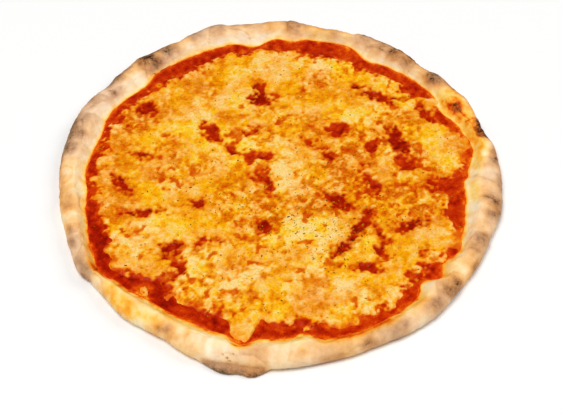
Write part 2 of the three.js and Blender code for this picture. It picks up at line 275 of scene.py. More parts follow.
def setFields(mesh, **fields):
    # what the materials read at each point, from 0 to 1
    for name, values in fields.items():
        field = mesh.attributes.new(name, "FLOAT", "POINT")
        field.data.foreach_set("value", np.clip(values, 0.0, 1.0).astype(np.float32))


def heldInBox(node, x, y, z):
    # points that stand out of a solid's box are moved onto it
    low, high = (np.array(corner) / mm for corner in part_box(node))
    return (np.clip(x, low[0] + middle[0], high[0] + middle[0]),
            np.clip(y, low[1] + middle[1], high[1] + middle[1]), np.clip(z, low[2], high[2]))


def spunProfile(name, points, steps):
    # a profile drawn by extruding one vertex from the axis outwards, then spun all the way round
    deselectAll()
    bpy.ops.mesh.primitive_plane_add(size=0.001, location=(points[0][0] * mm, 0, points[0][1] * mm))
    piece = startPiece(name)
    bpy.ops.object.mode_set(mode="EDIT")
    bpy.ops.mesh.select_all(action="SELECT")
    bpy.ops.mesh.merge(type="CENTER")
    for (r0, z0), (r1, z1) in zip(points, points[1:]):
        move = ((r1 - r0) * mm, 0, (z1 - z0) * mm)
        bpy.ops.mesh.extrude_region_move(TRANSFORM_OT_translate={"value": move})
    bpy.ops.mesh.select_all(action="SELECT")
    bpy.ops.mesh.spin(steps=steps, angle=2 * math.pi, center=(0, 0, 0), axis=(0, 0, 1))
    bpy.ops.mesh.select_all(action="SELECT")
    bpy.ops.mesh.remove_doubles(threshold=0.00002)
    bpy.ops.mesh.normals_make_consistent(inside=False)
    bpy.ops.object.mode_set(mode="OBJECT")
    bpy.ops.object.transform_apply(location=True, rotation=True, scale=True)
    bpy.ops.object.shade_smooth()
    return piece


def stationsOf(co, points):
    # which point of the profile each vertex of a spun piece came from
    radius = np.hypot(co[:, 0], co[:, 1])
    marks = np.array(points)
    gaps = np.hypot(radius[:, None] - marks[None, :, 0], co[:, 2][:, None] - marks[None, :, 1])
    return np.argmin(gaps, axis=1)


def linearColour(code):
    parts = [int(code[i:i + 2], 16) / 255 for i in (1, 3, 5)]
    return tuple(c / 12.92 if c <= 0.04045 else ((c + 0.055) / 1.055) ** 2.4 for c in parts) + (1.0,)


def addNode(tree, kind, settings, inputs, output=0):
    # inputs: a socket of another node is linked, anything else is set as the value
    node = tree.nodes.new("ShaderNode" + kind)
    for key, value in settings.items():
        if key == "stops":
            elements = node.color_ramp.elements
            while len(elements) < len(value):
                elements.new(1.0)
            for element, (place, code) in zip(elements, value):
                element.position = place
                element.color = linearColour(code)
        else:
            setattr(node, key, value)
    for key, value in inputs.items():
        if isinstance(value, bpy.types.NodeSocket):
            tree.links.new(value, node.inputs[key])
        else:
            node.inputs[key].default_value = value
    return node.outputs[output] if len(node.outputs) else node


def newMaterial(name):
    material = bpy.data.materials.new(name)
    material.use_nodes = True
    material.node_tree.nodes.clear()
    return material, material.node_tree


# The sums that the materials share: a * b + c, also held between 0 and 1.
multiplyAdd = {"operation": "MULTIPLY_ADD"}
multiplyAddHeld = {"operation": "MULTIPLY_ADD", "use_clamp": True}
# Of a colour Mix node, input 0 is the share, 6 and 7 are the two colours, and output 2 is the result.
colourMix = {"data_type": "RGBA"}
colourTint = {"data_type": "RGBA", "blend_type": "MULTIPLY"}

# Wheat dough baked on a stone: dry and matt, cream where pale, tan to charcoal where it blistered.
doughLook = {
    "goldenColours": [
        (0.0, "#FFF6D8"), (0.12, "#FFEDC4"), (0.26, "#FFE0AC"), (0.42, "#FFD090"), (0.56, "#F8BE76"),
        (0.7, "#EBAB60"), (0.81, "#DC9850"), (0.89, "#C98542"), (0.94, "#B26F35"), (0.975, "#965728"),
        (0.992, "#6E3F1C"), (1.0, "#3A2310"),
    ],
    "ashyColours": [
        (0.0, "#FFF6E4"), (0.12, "#FEEDD4"), (0.26, "#F9E0C0"), (0.42, "#F2D0AA"), (0.56, "#E7BE98"),
        (0.7, "#D6AB84"), (0.81, "#C69872"), (0.89, "#B08560"), (0.94, "#967250"), (0.975, "#7B5C3E"),
        (0.992, "#5C422C"), (1.0, "#33231A"),
    ],
    # what the dough's colour is multiplied by, from dry to soaked with red oil
    "oilTints": [
        (0.0, "#FFFFFF"), (0.2, "#FFF4D0"), (0.4, "#FFE092"), (0.6, "#FFC850"), (0.79, "#FA9E22"),
        (0.89, "#E66A06"), (1.0, "#C43E00"),
    ],
    "flourGrainMm": 0.9,
    "crumbMm": 3.5,
    "roughness": 0.75,
    "specular": 0.12,
}


def bakedDough():
    material, tree = newMaterial("bakedWheatDough")
    place = addNode(tree, "TexCoord", {}, {}, "Object")
    bake, ash, oil = (addNode(tree, "Attribute", {"attribute_name": name}, {}, "Fac")
                      for name in ("bake", "ash", "oil"))
    grain, crumb = (
        addNode(tree, "TexNoise", {}, {
            "Vector": place, "Scale": 1.0 / (doughLook[size] * mm), "Detail": detail, "Roughness": 0.6,
        }) for size, detail in (("flourGrainMm", 3.0), ("crumbMm", 4.0)))
    # both noises lie around 0.5, so half of their weights is taken off again
    stir = addNode(tree, "Math", multiplyAdd, {0: grain, 1: 0.24, 2: -0.12})
    stir = addNode(tree, "Math", multiplyAdd, {0: crumb, 1: 0.3, 2: stir})
    stir = addNode(tree, "Math", {"operation": "SUBTRACT"}, {0: stir, 1: 0.15})
    amount = addNode(tree, "Math", {"operation": "ADD", "use_clamp": True}, {0: bake, 1: stir})
    golden = addNode(tree, "ValToRGB", {"stops": doughLook["goldenColours"]}, {0: amount})
    ashy = addNode(tree, "ValToRGB", {"stops": doughLook["ashyColours"]}, {0: amount})
    baked = addNode(tree, "Mix", colourMix, {0: ash, 6: golden, 7: ashy}, 2)
    streaks = addNode(tree, "Math", {"operation": "MULTIPLY"}, {0: stir, 1: oil})
    soaked = addNode(tree, "Math", multiplyAddHeld, {0: streaks, 1: 1.2, 2: oil})
    stain = addNode(tree, "ValToRGB", {"stops": doughLook["oilTints"]}, {0: soaked})
    colour = addNode(tree, "Mix", colourTint, {0: 1.0, 6: baked, 7: stain}, 2)
    wet = addNode(tree, "Math", multiplyAdd, {0: oil, 1: -0.35, 2: doughLook["roughness"]})
    bump = addNode(tree, "Bump", {}, {"Strength": 0.6, "Distance": 0.3 * mm, "Height": grain})
    surface = addNode(tree, "BsdfPrincipled", {}, {
        "Base Color": colour, "Roughness": wet, "Specular IOR Level": doughLook["specular"], "Normal": bump,
    })
    addNode(tree, "OutputMaterial", {}, {"Surface": surface})
    return material


# Cooked tomato passata: wet, deep red, with specks of pulp and a skin of orange oil where it is thin.
sauceLook = {
    "colours": [
        (0.0, "#6A0A00"), (0.22, "#971200"), (0.42, "#B42400"), (0.6, "#C83A02"), (0.76, "#D85606"),
        (0.88, "#E4780A"), (1.0, "#F49C1E"),
    ],
    "pulpMm": 1.2,
    "poolMm": 3.6,
    "roughness": 0.2,
    "specular": 0.06,
}


def tomatoPassata():
    material, tree = newMaterial("cookedTomatoPassata")
    place = addNode(tree, "TexCoord", {}, {}, "Object")
    tone = addNode(tree, "Attribute", {"attribute_name": "tone"}, {}, "Fac")
    pulp = addNode(tree, "TexNoise", {}, {
        "Vector": place, "Scale": 1.0 / (sauceLook["pulpMm"] * mm), "Detail": 3.0, "Roughness": 0.6,
    })
    pool = addNode(tree, "TexNoise", {}, {
        "Vector": place, "Scale": 1.0 / (sauceLook["poolMm"] * mm), "Detail": 2.0, "Roughness": 0.5,
    })
    stir = addNode(tree, "Math", multiplyAdd, {0: pulp, 1: 0.55, 2: -0.45})
    stir = addNode(tree, "Math", multiplyAdd, {0: pool, 1: 0.35, 2: stir})
    amount = addNode(tree, "Math", {"operation": "ADD", "use_clamp": True}, {0: tone, 1: stir})
    colour = addNode(tree, "ValToRGB", {"stops": sauceLook["colours"]}, {0: amount})
    bump = addNode(tree, "Bump", {}, {"Strength": 0.5, "Distance": 0.3 * mm, "Height": pulp})
    surface = addNode(tree, "BsdfPrincipled", {}, {
        "Base Color": colour, "Roughness": sauceLook["roughness"],
        "Specular IOR Level": sauceLook["specular"], "Normal": bump,
    })
    addNode(tree, "OutputMaterial", {}, {"Surface": surface})
    return material


# Melted mozzarella: oily and smooth on the curds, soaked orange in the hollows between them.
cheeseLook = {
    "oilyColours": [
        (0.0, "#D24E00"), (0.05, "#DC6200"), (0.1, "#E37000"), (0.165, "#E97D00"), (0.25, "#EF8B00"),
        (0.375, "#F69900"), (0.525, "#FDA600"), (0.675, "#FFB206"), (0.825, "#FFBE16"), (0.935, "#FFCA2E"),
        (1.0, "#FFD74A"),
    ],
    "milkyColours": [
        (0.0, "#CC4E0A"), (0.05, "#D66212"), (0.1, "#DE701A"), (0.165, "#E57D24"), (0.25, "#EC8B30"),
        (0.375, "#F4993E"), (0.525, "#FBA64C"), (0.675, "#FFB25A"), (0.825, "#FFBE68"), (0.935, "#FFCA7A"),
        (1.0, "#FFD78E"),
    ],
    "toastTint": "#C4DDC6",  # multiplies the colour in small browned specks
    "curdMm": 1.1,
    "fatMm": 2.0,
    "fleckMm": 1.4,
    "roughness": 0.22,
    "specular": 0.035,
}


def meltedMozzarella():
    material, tree = newMaterial("meltedMozzarella")
    place = addNode(tree, "TexCoord", {}, {}, "Object")
    tone, milk, soak, under = (addNode(tree, "Attribute", {"attribute_name": name}, {}, "Fac")
                               for name in ("tone", "milk", "soak", "under"))
    curd, fat, fleck = (
        addNode(tree, "TexNoise", {}, {
            "Vector": place, "Scale": 1.0 / (cheeseLook[size] * mm), "Detail": 2.0, "Roughness": roughness,
        }) for size, roughness in (("curdMm", 0.6), ("fatMm", 0.6), ("fleckMm", 0.65)))
    # the fine curd noise lightens and darkens tone and milkiness together: partly the curds' own mottling,
    # partly painted glints and shade
    stir = addNode(tree, "Math", {"operation": "SUBTRACT"}, {0: curd, 1: 0.5})
    amount = addNode(tree, "Math", multiplyAddHeld, {0: stir, 1: 0.4, 2: tone})
    milk = addNode(tree, "Math", multiplyAdd, {0: fat, 1: 1.1, 2: milk})
    milk = addNode(tree, "Math", multiplyAdd, {0: stir, 1: 0.8, 2: milk})
    milk = addNode(tree, "Math", {"operation": "SUBTRACT", "use_clamp": True}, {0: milk, 1: 0.55})
    oily = addNode(tree, "ValToRGB", {"stops": cheeseLook["oilyColours"]}, {0: amount})
    milky = addNode(tree, "ValToRGB", {"stops": cheeseLook["milkyColours"]}, {0: amount})
    melt = addNode(tree, "Mix", colourMix, {0: milk, 6: oily, 7: milky}, 2)
    # thinly soaked cheese takes the orange oil first, and the red of the sauce where it is soaked through
    streaks = addNode(tree, "Math", {"operation": "MULTIPLY"}, {0: stir, 1: soak})
    soak = addNode(tree, "Math", multiplyAddHeld, {0: streaks, 1: 0.6, 2: soak})
    under = addNode(tree, "Math", multiplyAdd, {0: stir, 1: 0.5, 2: under})
    under = addNode(tree, "Math", {"operation": "ADD"}, {0: under, 1: 0.7})
    under = addNode(tree, "Math", multiplyAddHeld, {0: soak, 1: -0.7, 2: under})
    cover = addNode(tree, "Math", {"operation": "MULTIPLY", "use_clamp": True}, {0: soak, 1: 1.15})
    red = addNode(tree, "ValToRGB", {"stops": sauceLook["colours"]}, {0: under})
    colour = addNode(tree, "Mix", colourMix, {0: cover, 6: melt, 7: red}, 2)
    # browned specks, a little weaker where the melt is pale and gone where the sauce covers it
    toast = addNode(tree, "Math", multiplyAddHeld, {0: fleck, 1: 3.2, 2: -1.24})
    firm = addNode(tree, "Math", multiplyAdd, {0: amount, 1: -0.15, 2: 0.76})
    bare = addNode(tree, "Math", {"operation": "SUBTRACT"}, {0: 1.0, 1: cover})
    toast = addNode(tree, "Math", {"operation": "MULTIPLY"}, {0: toast, 1: firm})
    toast = addNode(tree, "Math", {"operation": "MULTIPLY"}, {0: toast, 1: bare})
    tint = linearColour(cheeseLook["toastTint"])
    colour = addNode(tree, "Mix", colourTint, {0: toast, 6: colour, 7: tint}, 2)
    bump = addNode(tree, "Bump", {}, {"Strength": 0.45, "Distance": 0.35 * mm, "Height": curd})
    surface = addNode(tree, "BsdfPrincipled", {}, {
        "Base Color": colour, "Roughness": cheeseLook["roughness"],
        "Specular IOR Level": cheeseLook["specular"], "Normal": bump,
    })
    addNode(tree, "OutputMaterial", {}, {"Surface": surface})
    return material


# Dried oregano: dull, brittle flakes from olive to nearly black.
herbLook = {
    "colours": [(0.0, "#501C00"), (0.1, "#783400"), (0.3, "#904A00"), (0.6, "#A06606"), (1.0, "#B08618")],
    "roughness": 0.95,
    "specular": 0.02,
}


def driedOregano():
    material, tree = newMaterial("driedOregano")
    tone = addNode(tree, "Attribute", {"attribute_name": "tone"}, {}, "Fac")
    colour = addNode(tree, "ValToRGB", {"stops": herbLook["colours"]}, {0: tone})
    surface = addNode(tree, "BsdfPrincipled", {}, {
        "Base Color": colour, "Roughness": herbLook["roughness"], "Specular IOR Level": herbLook["specular"],
    })
    addNode(tree, "OutputMaterial", {}, {"Surface": surface})
    return material


# Crust: base and puffed rim in one spun shell.
crustForm = {
    "aroundSteps": 900,
    "rimRadius": 140.0,  # where the pattern of puffs and wrinkles is measured
    "skin": 0.45,  # the relief stands out from the plain form by at most this much
    "puffMm": 15.0,
    "puffAmount": 0.9,
    "creaseDepth": 0.8,
    "creaseWidth": 0.1,
    "wrinkleMm": 5.0,
    "wrinkleAmount": 0.45,
    "blisterAmount": 0.4,
    "grainAmount": 0.2,
    "nearCalm": 0.75,  # how much of the relief is missing on the inner slope at the near side
    # how much browner each place gets; on the outer foot, in the creases and on the foot lips part of this is
    # painted shade
    "crestBake": 0.4,
    "bandBake": 0.17,
    # browning and painted shade on the outer foot, on the far side and on the near side
    "farFootBakeAndShade": 0.42,
    "nearFootBakeAndShade": 0.12,
    "spotBake": 1.15,
    # painted shade: darker colour in the creases between the puffs
    "creasePaintedShade": 0.3,
    "blisterBake": 0.14,
    # dark brown of the foot lips: browning and painted shade of their underside
    "lipBakeAndShade": 0.935,
    # the orange oil that soaks into the rim beyond the sauce
    "haloMm": 2.7,
    "haloStrength": 0.56,
}
# Stations along the profile: (part, share of that part).
crustStations = (
    [("under", i / 40) for i in range(41)]
    + [("foot", i / 9) for i in range(1, 10)]
    + [("shoulder", i / 18) for i in range(1, 19)]
    + [("slope", i / 22) for i in range(1, 23)]
    + [("floor", s) for s in (0.0, 0.35, 1.0)]
)


def crustPoint(part, share, angle):
    # radius and height of the plain form, as in the solids
    outer = radiusAt(rimOutline, angle)
    toe = radiusAt(sauceOutline, angle)
    crest = toe + dough["crestShare"] * (outer - toe)
    height = dough["rimHeight"] + sumOfBumps(rimPuffs, angle)
    widest = dough["widestShare"] * height
    lip = sumOfBumps(footLips, angle)
    fold = sumOfBumps(rimFolds, angle)
    outer = outer - crustForm["skin"]
    height = height - crustForm["skin"]
    if part == "under":
        return share * (outer - dough["footInset"] + lip), np.zeros_like(angle)
    if part == "foot":
        a = math.pi / 2 * (share - 1)
        out = lip * math.cos(math.pi / 2 * max(0.0, 1.5 * share - 0.5))
        return outer - dough["footInset"] * (1 - math.cos(a)) + out, widest * (1 + math.sin(a))
    if part == "shoulder":
        a = math.pi / 2 * share
        return crest + (outer - crest) * math.cos(a), widest + (height - widest) * math.sin(a)
    if part == "slope":
        low = dough["toeHeight"]
        fall = 0.5 + 0.5 * math.cos(math.pi * share)
        pressed = fold * math.sin(math.pi * share)
        return crest - (crest - toe) * share, low + (height - low) * fall - pressed
    return (toe - dough["toeUndercut"]) * (1 - share), np.full_like(angle, dough["floorHeight"])


# Browned places as the eye sees them from above:
# (angle, radius, half span in degrees, half width in mm, darkness).
brownedSpots = [
    (6.5, 147, 3, 4, 0.5), (16.5, 145, 5, 6.5, 1.0), (26, 138, 3.5, 7, 0.85), (33, 147, 4, 3, 0.4),
    (38.5, 141, 5.5, 8, 0.9), (52, 142, 8, 8, 0.5), (64, 142, 4.5, 8, 0.42), (72.5, 143, 2, 6, 0.3),
    (76.5, 144, 2, 5, 0.3), (86, 144, 4.5, 8, 0.4), (93.5, 143, 4, 9, 0.42), (99, 146, 2, 4, 0.3),
    (108, 145, 4, 8, 0.36), (115, 145, 3, 6, 0.34), (124, 143, 5, 10, 0.6), (131, 140, 5.5, 13, 0.9),
    (137, 144, 4, 7, 0.5), (142, 145, 6, 6, 0.5), (146.5, 136, 3.5, 5, 0.6), (153, 145, 3, 6, 0.34),
    (163, 142, 5.5, 10, 0.44), (170, 144, 3, 7, 0.62), (176, 148, 5, 2.5, 0.4), (182, 144, 2.5, 4, 0.3),
    (189, 142, 4.5, 7, 0.42), (199, 143, 2, 3, 0.34), (204, 144, 2, 3, 0.34), (212, 145, 3, 5, 0.44),
    (215.5, 149, 2.5, 4, 0.5), (225.5, 149, 1.5, 4, 0.25), (230.5, 149, 2.5, 4, 0.3),
    (240.5, 142, 3, 5, 0.44), (244, 144, 2, 4, 0.3), (264, 140, 3, 5, 0.2), (276, 142, 2, 4, 0.3),
    (283, 150, 3.5, 4, 0.26), (292, 147, 3, 5, 0.2), (302.5, 143, 3, 5, 0.24), (313.5, 144, 3.5, 6, 0.36),
    (319.5, 144, 4.5, 8, 0.52), (329, 148, 8, 3.5, 0.34), (336, 142, 4, 9, 0.46),
    (347.5, 145, 5.5, 7, 0.46), (351.5, 141, 2, 6, 0.36), (357, 149, 4, 3.5, 0.3),
]
# Oily stains on the dough beyond the sauce: (angle, radius, half span, half width, strength).
oilStains = [
    (12, 138, 5, 9, 0.62), (17, 140, 5, 10, 0.7), (22, 140, 4.5, 11, 0.74), (26, 137, 5, 12, 0.74),
    (30, 138, 4.5, 11, 0.68), (33, 136, 3, 6, 0.5), (8, 136, 5, 6, 0.5), (4, 134, 5, 5, 0.42),
    (223, 140, 4, 7, 0.5), (227.5, 143, 5, 8, 0.6), (231, 144, 4, 8, 0.52), (236, 140, 4, 7, 0.46),
    (275, 131, 6, 3.5, 0.5), (354, 131, 5, 4, 0.4),
]
# Burnt specks: (angle, radius, size).
charSpecks = [
    (214.7, 140, 0.9), (257.0, 146.5, 0.8), (258.2, 148.5, 0.9), (259.3, 145.0, 0.7), (259.0, 150.5, 0.8),
    (133.0, 129.5, 1.0), (147.0, 141.0, 0.7), (15.5, 149.5, 1.6), (18.5, 148.0, 1.4),
]
cameraRise = 50.93  # degrees above the floor
levelSeen = 7.0  # height in mm at which the places above are measured


def spotSum(features, angle, radius, raggedness):
    total = np.zeros_like(angle)
    for at, r, halfSpan, halfWidth, amount in features:
        away = np.hypot(turnBetween(angle, at) / halfSpan, (radius - r) / halfWidth) + raggedness
        total = np.maximum(total, amount * (1.0 - smooth(0.3, 1.35, away)))
    return total


def makeCrust():
    points = []
    for part, share in crustStations:
        r, z = crustPoint(part, share, np.zeros(1))
        points.append((float(r[0]), float(z[0])))
    crust = spunProfile("bakedCrust", points, crustForm["aroundSteps"])
    mesh = crust.data
    co = pointsOf(mesh)
    station = stationsOf(co, points)
    angle = angleOf(co[:, 0], co[:, 1])
    radius, height = np.zeros(len(co)), np.zeros(len(co))
    for k, (part, share) in enumerate(crustStations):
        here = station == k
        radius[here], height[here] = crustPoint(part, share, angle[here])
    x, y = placeAt(radius, angle)
    placePoints(mesh, x, y, height)
    normals = normalsOf(mesh)
    lastUnder = sum(1 for part, share in crustStations if part == "under")
    firstFloor = sum(1 for part, share in crustStations if part != "floor")
    onRim = (station >= lastUnder) & (station < firstFloor)
    up = (station - lastUnder) / (firstFloor - lastUnder)  # 0 at the foot, 1 at the toe
    # puffs, creases and wrinkles run across the rim, so their noise is stretched that way
    aroundX, aroundY = placeAt(crustForm["rimRadius"], angle)
    puff = evenCloud(3, crustForm["puffMm"], aroundX, aroundY, up * 22.0)
    lean = 3.0 * cloud(6, 9.0, aroundX, aroundY, up * 20.0)
    crack = cloud(9, crustForm["puffMm"], aroundX + lean, aroundY, up * 16.0)
    crease = thinLines(crack, crustForm["creaseWidth"]) ** 2
    wrinkle = evenCloud(8, crustForm["wrinkleMm"], aroundX, aroundY, up * 12.0)
    blister = cloud(21, 3.4, x, y, height, octaves=2)
    grain = cloud(33, 1.5, x, y, height)
    edge = np.sin(np.pi * np.clip(up, 0, 1)) ** 0.5
    relief = 0.5 * crustForm["puffAmount"] * puff - crustForm["creaseDepth"] * crease
    relief += 0.5 * crustForm["wrinkleAmount"] * wrinkle + crustForm["blisterAmount"] * blister
    relief = np.minimum((relief + crustForm["grainAmount"] * grain) * edge, crustForm["skin"]) * onRim
    nearSlope = smooth(0.1, 0.7, -np.sin(np.radians(angle))) * smooth(0.5, 1.0, up)
    moved = (relief * (1.0 - crustForm["nearCalm"] * nearSlope))[:, None] * normals
    x, y, z = heldInBox("crust", x + moved[:, 0], y + moved[:, 1], height + moved[:, 2])
    placePoints(mesh, x, y, z)

    # browning is placed where the eye sees it: higher places look further off
    lift = 1.0 / math.tan(math.radians(cameraRise))
    seenY = y + (z - levelSeen) * lift
    seenAngle = angleOf(x, seenY)
    seenRadius = np.hypot(x, seenY)
    ragged = 0.24 * cloud(5, 7.0, x, y, z, octaves=3)
    farSide = smooth(-0.3, 0.4, np.sin(np.radians(angle)))
    crestward = smooth(0.92, 0.4, up) * (1 - 0.4 * smooth(0.25, 0.0, up))
    band = evenCloud(15, 8.0, aroundX, aroundY, up * 7.0, octaves=2)
    band = np.tanh(2.2 * band + 0.5 * cloud(18, 3.0, x, y, z))
    bake = (crustForm["crestBake"] + 0.1 * puff) * crestward
    bake = bake + 0.12 * evenCloud(14, 18.0, x, y, z, octaves=3)
    bake = bake + crustForm["bandBake"] * band * smooth(1.0, 0.55, up)
    # the outer foot and lower shoulder get darker: partly browning, partly painted shade where the surface
    # curves under, away from the light
    bake = bake + crustForm["farFootBakeAndShade"] * farSide * smooth(0.44, 0.3, up)
    bake = bake + crustForm["nearFootBakeAndShade"] * (1 - farSide) * smooth(0.2, 0.05, up)
    spots = spotSum(brownedSpots, seenAngle, seenRadius, ragged) * (1.0 + 0.25 * blister)
    near = smooth(0.1, 0.8, -np.sin(np.radians(angle)))
    # painted light: the near side's inner slope is made paler in colour, and a little greyer, to offset the
    # shade it lies in
    nearSlopePaintedLight = near * smooth(0.45, 0.75, up)
    bake = bake + crustForm["spotBake"] * spots - 0.3 * nearSlopePaintedLight
    # painted shade: the creases between the puffs are darkened
    bake = bake + crustForm["creasePaintedShade"] * crease * smooth(0.2, 0.5, up) + 0.05 * wrinkle
    bake = bake + crustForm["blisterBake"] * blister
    underside = station < lastUnder + 2
    below = 0.55 + 0.42 * smooth(0.05, 0.5, cloud(44, 14.0, x, y, octaves=2)) + 0.12 * cloud(46, 8.0, x, y)
    bake = ranked(bake, onRim & ~underside)
    bake = np.where(bake > 0.84, 0.84 + 0.95 * (bake - 0.84), bake)
    stain = spotSum(oilStains, seenAngle, seenRadius, 1.2 * ragged)
    bake = bake - 0.8 * stain * smooth(0.94, 0.7, bake)  # oil hides the light browning
    # the foot lips turn dark brown: partly browning, partly painted shade of their underside
    onLip = smooth(1.0, 3.2, sumOfBumps(footLips, angle)) * smooth(0.3, 0.1, up)
    bake = bake + onLip * (crustForm["lipBakeAndShade"] - bake)
    bake = np.where(underside, below, bake)
    for at, r, size in charSpecks:
        cx, cy = placeAt(r, at)
        bake = np.maximum(bake, 1.0 - smooth(0.6, 1.4, np.hypot(x - cx, seenY - cy) / size))
    ash = 0.42 + 0.5 * evenCloud(51, 20.0, x, y, z, octaves=3) + 0.3 * smooth(0.5, 0.95, bake)
    # with its painted light, the near inner slope is also a little greyer
    ash = ash + 0.3 * smooth(50.0, 20.0, turnBetween(angle, 150.0)) - 0.9 * stain + 0.1 * nearSlopePaintedLight
    # how far beyond the sauce a place is as the eye sees it; what the crest hides counts as the crest
    steps = crustForm["aroundSteps"]
    column = np.round(angle / 360.0 * steps).astype(int) % steps
    seen = np.full((steps, len(crustStations)), 999.0)
    seen[column[onRim], station[onRim]] = seenRadius[onRim]
    seen = np.minimum.accumulate(seen[:, :firstFloor], axis=1)
    beyond = seen[column, np.minimum(station, firstFloor - 1)] - seen[column, -1]
    beyond = np.where(up > 0.25, beyond, 99.0)
    # on the near side the halo reaches further and is stronger, partly to cover the shade of the steep inner
    # slope in colour
    reach = crustForm["haloMm"] + 1.7 * cloud(61, 7.0, x, y, octaves=2) + 0.6 * near
    halo = (crustForm["haloStrength"] + 0.1 * near) * fading(beyond - 0.2, np.maximum(reach, 0.9), 1.3)
    halo = np.maximum(halo, 0.95 * fading(beyond, 1.5 + 1.2 * near, 1.5))
    faint = 0.12 * smooth(9.0, 2.0, beyond + 5.0 * cloud(67, 16.0, x, y, octaves=2))
    oil = np.maximum(halo, np.maximum(stain * smooth(0.05, 0.35, up), faint))
    blotch = np.clip(evenCloud(65, 3.4, x, y, z, octaves=2), -1.0, 1.0)
    oil = oil * (1.0 + 0.28 * blotch * smooth(0.95, 0.7, oil))
    setFields(mesh, ash=ash, bake=bake, oil=oil * onRim)
    finishPiece(crust, "crust", bakedDough(), "crust")


makeCrust()


def outerCover(x, y):
    # mm inside the cheese's outline, negative outside
    angle = angleOf(x, y)
    edge = np.minimum(radiusAt(cheeseOutline, angle), radiusAt(sauceOutline, angle) - 1.2)
    return edge - np.hypot(x, y)


def smearAt(x, y):
    # mm inside a smear of sauce, negative away from it, and how dark the sauce is there
    smear, darkness = np.full_like(x, -99.0), np.zeros_like(x)
    for cx, cy, halfLength, halfWidth, turn, dark in sauceWindows:
        inside = insideEllipse(x, y, cx, cy, halfLength, halfWidth, turn) * halfWidth
        darkness = np.where(inside > smear, dark, darkness)
        smear = np.maximum(smear, inside)
    return smear, darkness * smooth(-5.0, 0.0, smear)


def sauceTone(x, y, darkness):
    pulp = cloud(72, 2.6, x, y, octaves=2)
    tone = 0.46 + 0.12 * cloud(75, 12.0, x, y) + 0.16 * pulp + 0.24 * cloud(76, 3.0, x, y, octaves=2)
    return tone - 0.26 * darkness


# Sauce: a film that runs up against the foot of the rim.
sauceForm = {
    "aroundSteps": 720,
    "radius": 127.5,  # of the profile before it is fitted to the outline
    "outerRings": 30,  # closely set, where the sauce lies bare
    "outerStep": 0.9,
    "innerRings": 46,
    "run": 1.6,
    "ripple": 0.22,
    "pulp": 0.2,
}
# Where the ring of sauce is darker or brighter: (angle, half span, shift).
sauceShades = [
    (31, 7, 0.3), (12, 10, 0.2), (215, 45, -0.16), (60, 45, 0.08), (320, 40, 0.04), (110, 30, 0.02),
]


def makeSauce():
    rim = sauceForm["radius"] + sauceForm["run"]
    low = dough["floorHeight"] + 0.3
    bare = sauceForm["outerRings"] * sauceForm["outerStep"]
    inner = sauceForm["innerRings"]
    radii = [rim - i * sauceForm["outerStep"] for i in range(sauceForm["outerRings"])]
    radii += [(rim - bare) * (1 - i / inner) for i in range(inner + 1)]
    points = [(0.0, low), (rim - 3.0, low)] + [(r, sauceTop) for r in radii]
    sauce = spunProfile("tomatoSauce", points, sauceForm["aroundSteps"])
    mesh = sauce.data
    co = pointsOf(mesh)
    angle = angleOf(co[:, 0], co[:, 1])
    share = np.hypot(co[:, 0], co[:, 1]) / rim
    toe = radiusAt(sauceOutline, angle)
    onTop = co[:, 2] > sauceTop - 0.1
    radius = share * (toe + sauceForm["run"])
    x, y = placeAt(radius, angle)
    ripple = cloud(71, 7.0, x, y, octaves=2)
    pulp = cloud(72, 2.6, x, y, octaves=2) * smooth(60.0, 105.0, radius) + cloud(73, 5.0, x, y) * 0.5
    edge = toe + sauceForm["run"] - radius
    height = sauceTop + 0.25 + sauceForm["ripple"] * ripple + sauceForm["pulp"] * pulp
    height = height - 0.5 * smooth(2.2, 0.0, edge)
    placePoints(mesh, x, y, np.where(onTop, height, low))
    darkness = smearAt(x, y)[1]
    cheeseCover = outerCover(x, y) + 2.5 * cloud(91, 5.0, x, y, octaves=2)
    tone = sauceTone(x, y, darkness) + (sumOfBumps(sauceShades, angle) - 0.04) * smooth(6.0, 1.0, cheeseCover)
    tone = tone + 0.3 * smooth(4.0 + 3.0 * cloud(77, 6.0, x, y), 1.0, edge)
    tone = tone + 0.22 * smooth(-3.0, 0.0, cheeseCover) * smooth(6.0, 2.0, cheeseCover)
    crumbX, crumbY = placeAt(cheeseCrumb["radius"], cheeseCrumb["angle"])
    fromCrumb = np.hypot(x - crumbX, y - crumbY) + 2.0 * cloud(79, 3.0, x, y)
    tone = tone + 0.45 * smooth(9.0, 3.5, fromCrumb)
    setFields(mesh, tone=tone)
    finishPiece(sauce, "tomato_sauce", tomatoPassata(), "tomato_sauce")
    return sauce


sauceFilm = makeSauce()


# Cheese: shreds melted into a sheet, higher and paler where they lie thick.
cheeseForm = {
    "halfSize": 138.0,  # of the grid that it is cut from
    "pitch": 0.78,  # mesh spacing
    "run": 1.7,  # how far its edge lies beyond the solid's
    "ragged": 4.6,
    "edgeSoakMm": 8.0,  # how far in from the edge it has soaked up sauce
    "closing": 1.1,  # how far the melt has closed in over the smears
    "thickness": 1.15,
    "edgeWidth": 4.6,
    "underside": 4.7,
    "relief": 0.12,
    # lumps of the melt: size in mm, share in the colour, share in the height
    "lumps": [(26.0, 0.5, 1.0), (13.0, 0.4, 0.9), (7.0, 0.4, 0.8), (3.4, 0.45, 0.6), (1.6, 0.4, 0.3)],
    "gapMm": 4.4,  # gaps between the curds, where the sauce has soaked up
    "gapDepth": 1.7,
    "veinDepth": 0.9,
    "soak": 1.7,  # how much redder the melt is around a smear of sauce
    "tear": 1.1,  # how ragged the smears are, in mm
}
# Shreds and curds, painted one over the other as they melted.
curds = {
    "count": 11000,
    "radius": 134.0,  # how far out they are scattered
    "length": (2.0, 11.0),
    "width": (1.6, 4.4),
    "rise": (0.06, 0.36),
    "edge": 0.3,  # where a shred starts to fade, as a share of its half width
    "cover": 0.8,
    "seed": 11,
}
